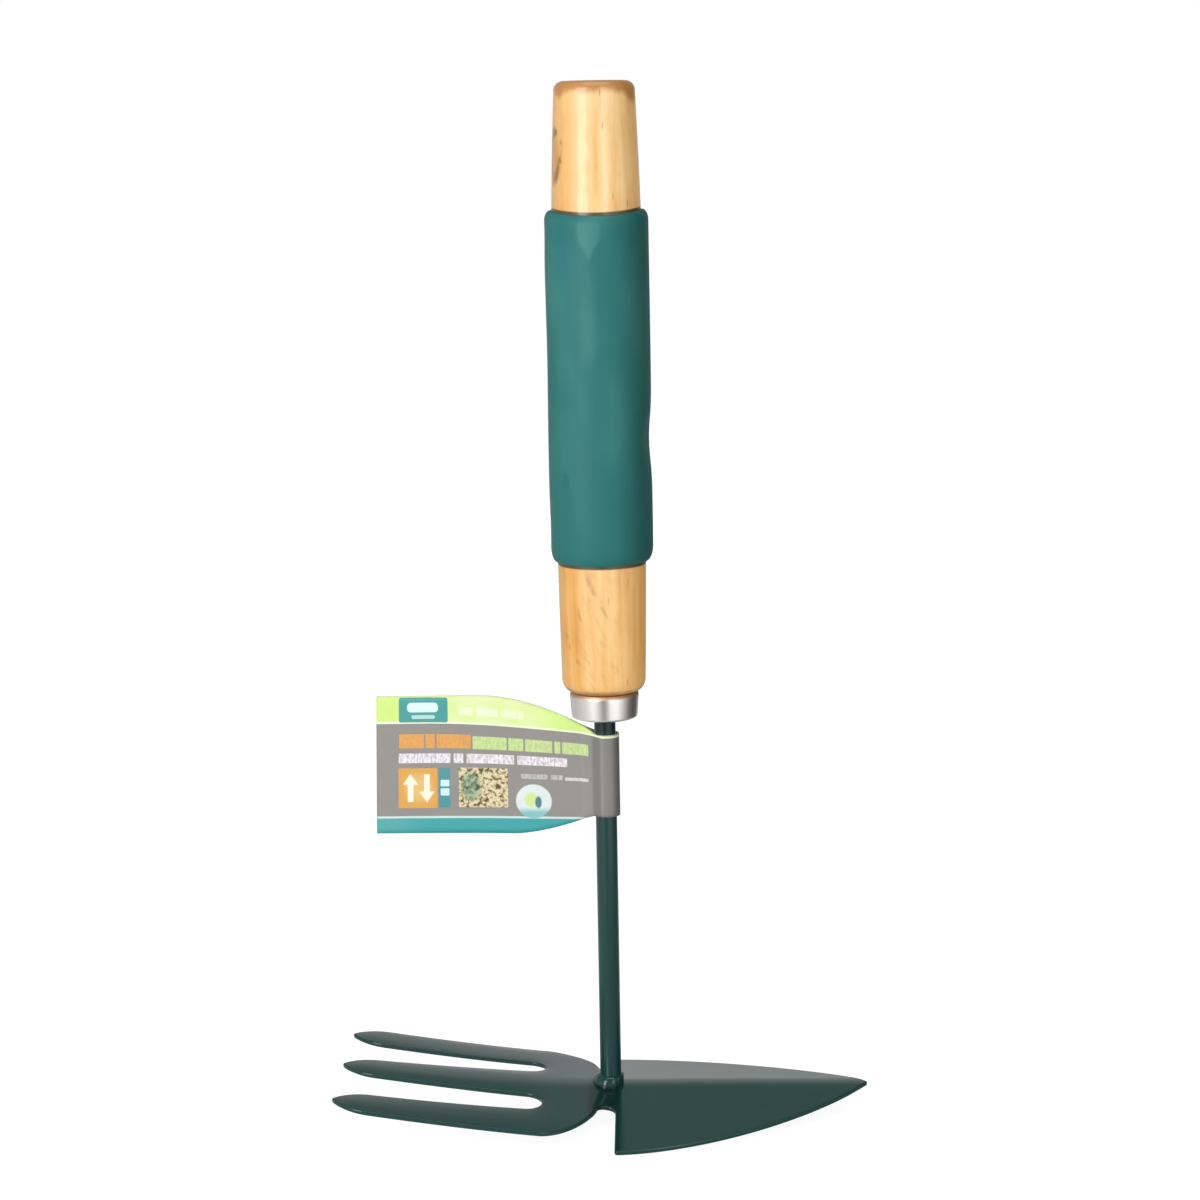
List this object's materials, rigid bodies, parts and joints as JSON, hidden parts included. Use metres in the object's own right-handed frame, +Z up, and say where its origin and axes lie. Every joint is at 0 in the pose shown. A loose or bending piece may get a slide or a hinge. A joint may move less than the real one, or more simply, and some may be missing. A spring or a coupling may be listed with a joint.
{
  "type": "double-headed hand hoe and fork",
  "caption": "Short hand tool with a turned wooden handle, foam sleeve grip, thin steel rod and a folded sheet head: pointed hoe on one side, tined fork on the other.",
  "frame": {"origin": "on the rod's axis, at the level of the hoe heel's lowest corners", "axes": "+Z up along the rod and handle, +X towards the hoe's point, -X towards the fork's tines, the head symmetric about the XZ plane"},
  "size_m": [0.1493, 0.0748, 0.2901],
  "materials": {
    "handle_wood": "clear varnish",
    "grip_foam": "satin closed-cell foam",
    "bright_ferrule": "bright plated",
    "green_enamel": "gloss",
    "printed_card": "coated print"
  },
  "bodies": {
    "tool": {"handle": "handle_wood", "foam_grip": "grip_foam", "ferrule": "bright_ferrule", "rod": "green_enamel", "weld_bead": "green_enamel", "fork_hoe_head": "green_enamel"},
    "tag": {"hang_tag": "printed_card"}
  },
  "joints": [
    {"name": "tag_swivel", "type": "hinge", "parent": "tool", "child": "tag", "pos_m": [0, 0, 0.098], "axis": [0, 0, 1], "continuous": true}
  ]
}
